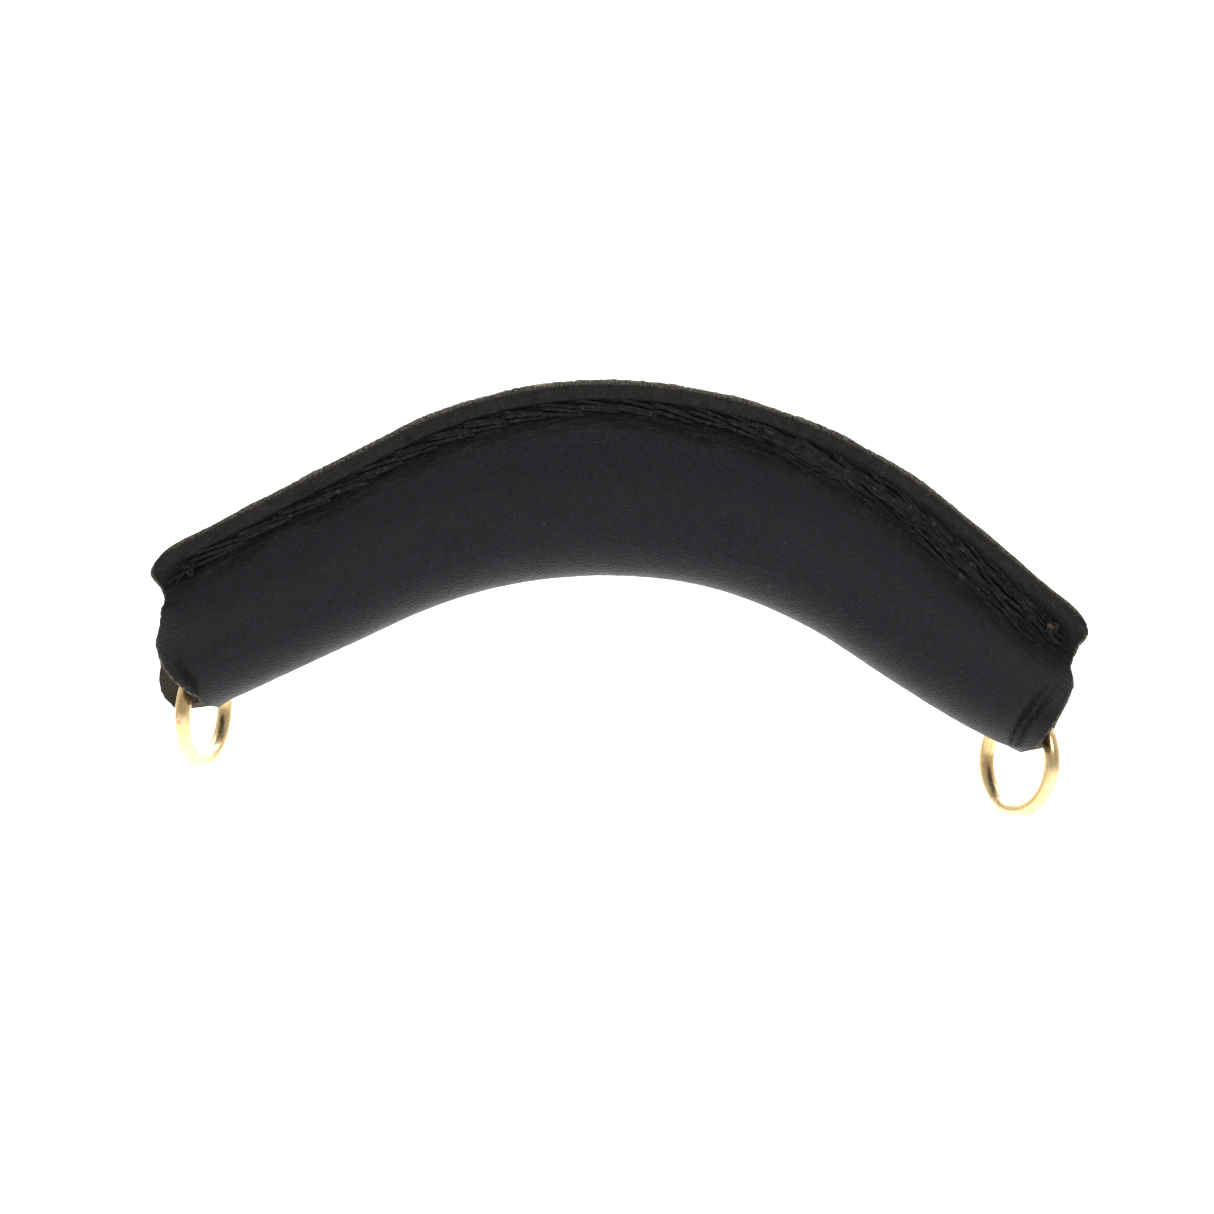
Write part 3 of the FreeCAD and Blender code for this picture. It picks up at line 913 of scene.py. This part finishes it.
class Nodes:
    """Short way to write a node tree."""

    def __init__(self, name):
        self.material = bpy.data.materials.new(name)
        self.material.use_nodes = True
        self.tree = self.material.node_tree
        self.shader = self.tree.nodes["Principled BSDF"]
        self.position = self.add("ShaderNodeTexCoord").outputs["Object"]

    def add(self, kind, inputs=None, **settings):
        """A new node, with its inputs linked or set and its settings made."""
        node = self.tree.nodes.new(kind)
        for key, value in settings.items():
            setattr(node, key, value)
        for key, value in (inputs or {}).items():
            self.put(node.inputs[key], value)
        return node

    def put(self, socket, value):
        """Link another node's output to a socket, or set the socket's own value."""
        if isinstance(value, bpy.types.NodeSocket):
            self.tree.links.new(value, socket)
        else:
            socket.default_value = value

    def stretched(self, scale):
        """The object's coordinates, scaled along each axis."""
        return self.add(
            "ShaderNodeMapping", {"Vector": self.position, "Scale": scale}).outputs["Vector"]

    def noise(self, size_mm, detail=4.0, rough=0.55, vector=None):
        return self.add("ShaderNodeTexNoise", {
            "Vector": vector or self.position, "Scale": 1 / (size_mm * MM), "Detail": detail,
            "Roughness": rough}).outputs["Fac"]

    def cells(self, size_mm):
        """Distance to the nearest border of irregular cells."""
        return self.add("ShaderNodeTexVoronoi", {
            "Vector": self.position, "Scale": 1 / (size_mm * MM)},
            feature="DISTANCE_TO_EDGE").outputs["Distance"]

    def mask(self, name):
        """The value that set_mask gave each point."""
        return self.add("ShaderNodeAttribute", attribute_name=name).outputs["Fac"]

    def ramp(self, value, low, high, to_low=0.0, to_high=1.0):
        """A value's range from low to high, mapped on to another range and held at its ends."""
        return self.add("ShaderNodeMapRange", {
            "Value": value, "From Min": low, "From Max": high, "To Min": to_low,
            "To Max": to_high}).outputs["Result"]

    def math(self, operation, a, b):
        return self.add("ShaderNodeMath", {0: a, 1: b}, operation=operation).outputs["Value"]

    def mix(self, factor, a, b):
        node = self.add("ShaderNodeMix", data_type="RGBA")
        self.put(node.inputs["Factor"], factor)
        self.put(node.inputs["A"], a)
        self.put(node.inputs["B"], b)
        return node.outputs["Result"]

    def bump(self, height, depth_mm, strength=1.0):
        return self.add("ShaderNodeBump", {
            "Height": height, "Distance": depth_mm * MM, "Strength": strength}).outputs["Normal"]


def leather_material():
    n = Nodes("black_leather")
    blue_black = (0.0100, 0.0092, 0.0132, 1)
    worn_black = (0.0125, 0.0116, 0.0160, 1)
    olive_brown = (0.022, 0.0185, 0.0165, 1)
    dark_brown = (0.007, 0.0055, 0.0060, 1)
    cut_tan = (0.30, 0.28, 0.21, 1)
    flesh_side = (0.075, 0.062, 0.047, 1)
    painted_shade_black = (0.003, 0.003, 0.004, 1)
    grey_dust = (0.16, 0.16, 0.17, 1)

    cloud = n.noise(9.0, 3.0)
    colour = n.mix(n.ramp(cloud, 0.35, 0.7), blue_black, worn_black)
    grime = n.noise(1.6, 5.0, 0.75)
    flange_colour = n.mix(n.ramp(grime, 0.35, 0.65), dark_brown, olive_brown)
    colour = n.mix(n.mask("flange"), colour, flange_colour)
    # Painted shade: near black in the seam's groove and in the creases of the front wall.
    colour = n.mix(n.math("MULTIPLY", n.mask("seam"), 0.75), colour, painted_shade_black)
    # Painted shade of the fine wrinkles beside the seam: dark hair lines, which the bump also
    # sinks a little.
    line_place = n.add("ShaderNodeCombineXYZ", {
        "X": n.mask("below_edge"), "Y": n.math("MULTIPLY", n.mask("along_seam"), 0.10)})
    hair_lines = n.noise(0.75, 4.0, 0.65, line_place.outputs["Vector"])
    wrinkle_shade_lines = n.math("MULTIPLY", n.ramp(hair_lines, 0.52, 0.43), n.mask("wrinkle_shade_band"))
    colour = n.mix(n.math("MULTIPLY", wrinkle_shade_lines, 0.85), colour, painted_shade_black)
    speck = n.noise(0.35, 3.0, 0.8)
    cut = n.math("MULTIPLY", n.mask("cut"), n.ramp(speck, 0.42, 0.60))
    colour = n.mix(cut, colour, cut_tan)
    colour = n.mix(n.math("MULTIPLY", n.mask("flesh"), 0.8), colour, flesh_side)
    dust = n.ramp(n.noise(0.45, 2.0, 0.9), 0.685, 0.73, 0.0, 0.4)
    colour = n.mix(dust, colour, grey_dust)
    n.put(n.shader.inputs["Base Color"], colour)

    gloss = n.ramp(n.noise(14.0, 2.0, 0.5), 0.3, 0.7, 0.455, 0.485)
    gloss = n.math("ADD", gloss, n.math("MULTIPLY", n.mask("cut"), 0.3))
    n.put(n.shader.inputs["Roughness"], gloss)
    n.put(n.shader.inputs["Specular IOR Level"], 0.24)

    grain = n.ramp(n.cells(0.55), 0.0, 0.25)
    fine = n.noise(0.30, 3.0, 0.7)
    height = n.math("ADD", n.math("MULTIPLY", grain, 0.55), n.math("MULTIPLY", fine, 0.6))
    wear = n.ramp(n.noise(9.0, 2.0), 0.35, 0.65, 0.75, 1.0)
    height = n.math("MULTIPLY", height, wear)
    height = n.math("SUBTRACT", height, n.math("MULTIPLY", wrinkle_shade_lines, 1.2))
    rough_cut = n.math("ADD", n.mask("cut"), n.math("MULTIPLY", n.mask("flange"), 0.35))
    fibres = n.math("MULTIPLY", n.noise(0.45, 4.0, 0.8), n.math("MULTIPLY", rough_cut, 2.0))
    n.put(n.shader.inputs["Normal"], n.bump(n.math("ADD", height, fibres), 0.26, 1.0))
    return n.material


def thread_material():
    n = Nodes("waxed_thread")
    black_wax = (0.004, 0.0035, 0.005, 1)
    worn_wax = (0.014, 0.012, 0.015, 1)
    painted_glint_grey = (0.062, 0.058, 0.066, 1)
    colour = n.mix(n.ramp(n.noise(1.2, 4.0), 0.4, 0.7), black_wax, worn_wax)
    fibre = n.noise(0.10, 4.0, 0.7, n.stretched((0.35, 1.0, 1.0)))
    # Painted highlights: pale grey specks on the dark thread stand in for glints on its strands.
    painted_glints = n.ramp(n.noise(0.8, 4.0, 0.8), 0.57, 0.66, 0.0, 0.9)
    colour = n.mix(painted_glints, colour, painted_glint_grey)
    n.put(n.shader.inputs["Base Color"], colour)
    n.put(n.shader.inputs["Roughness"], n.ramp(fibre, 0.3, 0.7, 0.50, 0.72))
    n.put(n.shader.inputs["Specular IOR Level"], 0.2)
    n.put(n.shader.inputs["Normal"], n.bump(fibre, 0.05))
    return n.material


def frayed_material():
    n = Nodes("frayed_thread")
    dark_fibre = (0.03, 0.02, 0.016, 1)
    brown_fibre = (0.14, 0.075, 0.045, 1)
    colour = n.mix(n.noise(0.8, 3.0), dark_fibre, brown_fibre)
    n.put(n.shader.inputs["Base Color"], colour)
    n.put(n.shader.inputs["Roughness"], n.ramp(n.noise(0.2, 3.0), 0.3, 0.7, 0.6, 0.85))
    n.put(n.shader.inputs["Normal"], n.bump(n.noise(0.08, 3.0), 0.03))
    return n.material


def stuffing_material():
    n = Nodes("felted_stuffing")
    dark_felt = (0.16, 0.12, 0.08, 1)
    pale_felt = (0.36, 0.29, 0.20, 1)
    fibre = n.noise(0.5, 6.0, 0.75)
    n.put(n.shader.inputs["Base Color"], n.mix(n.ramp(fibre, 0.3, 0.7), dark_felt, pale_felt))
    n.put(n.shader.inputs["Roughness"], n.ramp(fibre, 0.3, 0.7, 0.8, 0.95))
    n.put(n.shader.inputs["Normal"], n.bump(fibre, 0.4))
    return n.material


def brass_material():
    n = Nodes("tarnished_brass")
    bright_brass = (0.90, 0.69, 0.38, 1)
    filmed_brass = (0.80, 0.55, 0.25, 1)
    brown_tarnish = (0.34, 0.15, 0.05, 1)
    spots = n.ramp(n.noise(1.6, 5.0, 0.7, n.stretched((1.6, 1.6, 0.5))), 0.60, 0.70)
    film = n.ramp(n.noise(5.0, 3.0), 0.35, 0.7)
    colour = n.mix(film, bright_brass, filmed_brass)
    colour = n.mix(n.math("MULTIPLY", spots, 0.8), colour, brown_tarnish)
    n.put(n.shader.inputs["Base Color"], colour)
    n.put(n.shader.inputs["Metallic"], 1.0)
    n.put(n.shader.inputs["Roughness"], n.math(
        "ADD", n.ramp(n.noise(0.8, 4.0), 0.3, 0.7, 0.20, 0.30), n.math("MULTIPLY", spots, 0.15)))
    scratches = n.noise(0.25, 5.0, 0.7, n.stretched((1.0, 1.0, 0.25)))
    n.put(n.shader.inputs["Normal"], n.bump(scratches, 0.012, 0.25))
    return n.material


def backdrop_material():
    n = Nodes("pale_backdrop")
    n.put(n.shader.inputs["Base Color"], (0.93, 0.93, 0.925, 1))
    n.put(n.shader.inputs["Roughness"], 0.9)
    n.put(n.shader.inputs["Specular IOR Level"], 0.1)
    return n.material


# ------------------------------------------------------------------ pieces on their bodies

def dress(piece, material, body, slot, *nodes):
    """Give a piece its material and body, and hide the CAD nodes that it stands for; the slot is
    not used.
    """
    piece.data.materials.append(material)
    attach(piece, body)
    if nodes:
        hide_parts(*nodes)
    return piece


LEATHER_MATERIAL = leather_material()
THREAD_MATERIAL = thread_material()
BRASS_MATERIAL = brass_material()

cover = dress(leather_cover(), LEATHER_MATERIAL, "pad", "leather", "leather_cover")
filling = dress(stuffing(), stuffing_material(), "pad", "stuffing", "padding_roll")

dress(joined("stitches_front", seam_strands(FRONT) + stray_threads()), THREAD_MATERIAL,
      "pad", "thread", "seam_stitches_front")
dress(joined("stitches_back", seam_strands(BACK)), THREAD_MATERIAL, "pad", "thread",
      "seam_stitches_back")
dress(joined("thread_passes", thread_passes()), THREAD_MATERIAL, "pad", "thread",
      "seam_thread_passes")

KNOT_SIZE = 0.36
LEFT_KNOT = (HOLES[0][0] - 1.0, -2.0, HOLES[0][1] - 1.1)
RIGHT_KNOT = (HOLES[-1][0] + 1.4, -2.1, HOLES[-1][1] - 1.8)
dress(joined("knot_left", [
    knot(LEFT_KNOT, KNOT_SIZE, 0.4),
    tail(LEFT_KNOT, np.array([-0.77, -0.64]), 3.9, 1.0),
    tail(LEFT_KNOT, np.array([-0.70, -0.71]), 3.0, 3.0)]),
    THREAD_MATERIAL, "pad", "thread", "thread_knot_left")
dress(joined("knot_right", [
    knot(RIGHT_KNOT, KNOT_SIZE, 1.9),
    tail(RIGHT_KNOT, np.array([0.74, -0.67]), 2.4, 2.0)]),
    THREAD_MATERIAL, "pad", "thread", "thread_knot_right")
dress(joined("knot_right_fray", fray(
    (RIGHT_KNOT[0] - 0.6, -2.5, RIGHT_KNOT[2] + 0.4), np.array([0.80, -0.60]), 1.6, 9)),
    frayed_material(), "pad", "thread")

for side_name in ("left", "right"):
    node = "ring_" + side_name
    ring = brass_ring(node, JOINTS[node + "_swing"])
    dress(ring, BRASS_MATERIAL, side_name + "_ring", "brass", node)


# ------------------------------------------------------------------ floor, light and camera

FLOOR_BELOW = 120.0
FLOOR_FRONT, FLOOR_BACK = -700.0, 330.0
BACKDROP_BEND, BEND_STEPS = 160.0, 12
WALL_HEIGHT, BACKDROP_HALF_WIDTH = 900.0, 900.0


def backdrop():
    """A pale floor that curves up into a wall behind the object."""
    floor_z = cad_low[2] / MM - FLOOR_BELOW
    profile = [(FLOOR_FRONT, floor_z), (FLOOR_BACK, floor_z)]
    for i in range(1, BEND_STEPS + 1):
        a = math.pi / 2 * i / BEND_STEPS
        profile.append((
            FLOOR_BACK + BACKDROP_BEND * math.sin(a),
            floor_z + BACKDROP_BEND * (1 - math.cos(a))))
    profile.append((FLOOR_BACK + BACKDROP_BEND, floor_z + WALL_HEIGHT))
    sides = (-BACKDROP_HALF_WIDTH, BACKDROP_HALF_WIDTH)
    points = [(x, y, z) for y, z in profile for x in sides]
    faces = grid_faces(len(profile), 2)
    piece = make_mesh("backdrop", points, faces)
    piece.data.materials.append(backdrop_material())


def area_light(name, place_mm, target_mm, size_mm, watts):
    """A rectangular lamp at one place, aimed at another, all in mm."""
    light = bpy.data.lights.new(name, "AREA")
    light.shape = "RECTANGLE"
    light.size, light.size_y = size_mm[0] * MM, size_mm[1] * MM
    light.energy = watts
    lamp = bpy.data.objects.new(name, light)
    lamp.location = Vector(place_mm) * MM
    aim = Vector(target_mm) - Vector(place_mm)
    lamp.rotation_euler = aim.to_track_quat("-Z", "Y").to_euler()
    bpy.context.scene.collection.objects.link(lamp)


# The camera looks at this x and z, and the picture is this wide at the object, in mm.
VIEW_X, VIEW_Z, SEEN_WIDTH = -2.0, -5.1, 194.2
OBJECT_LEAN = math.radians(3.5)


def camera():
    """Level view from the front, rolled so that the object leans clockwise."""
    data = bpy.data.cameras.new("camera")
    data.lens = 100.0
    data.sensor_width = 36.0
    distance = SEEN_WIDTH * data.lens / data.sensor_width
    rig = bpy.data.objects.new("camera", data)
    rig.location = Vector((VIEW_X, -distance, VIEW_Z)) * MM
    rig.rotation_euler = (math.pi / 2, -OBJECT_LEAN, 0)
    bpy.context.scene.collection.objects.link(rig)
    bpy.context.scene.camera = rig


backdrop()
camera()
area_light("overhead", (0, 380, 520), (0, 330, -60), (700, 300), 6.0)
area_light("wall_wash", (0, 160, 420), (0, 480, -40), (900, 200), 3.5)
area_light("front_softbox", (170, -600, 440), (20, 0, 0), (300, 260), 2.0)


DIM_SIDE, BRIGHT_SIDE = 0.42, 0.95


def studio_world():
    """Soft white surroundings, dimmer on the camera's side."""
    made = bpy.data.worlds.new("studio")
    made.use_nodes = True
    tree = made.node_tree
    direction = tree.nodes.new("ShaderNodeTexCoord")
    split = tree.nodes.new("ShaderNodeSeparateXYZ")
    ramp = tree.nodes.new("ShaderNodeMapRange")
    tree.links.new(direction.outputs["Generated"], split.inputs["Vector"])
    tree.links.new(split.outputs["Y"], ramp.inputs["Value"])
    ramp.inputs["From Min"].default_value = -0.6
    ramp.inputs["From Max"].default_value = 0.5
    ramp.inputs["To Min"].default_value = DIM_SIDE
    ramp.inputs["To Max"].default_value = BRIGHT_SIDE
    tree.nodes["Background"].inputs["Color"].default_value = (1, 1, 1, 1)
    tree.links.new(ramp.outputs["Result"], tree.nodes["Background"].inputs["Strength"])
    return made


bpy.context.scene.world = studio_world()
bpy.context.scene.view_settings.view_transform = "Standard"
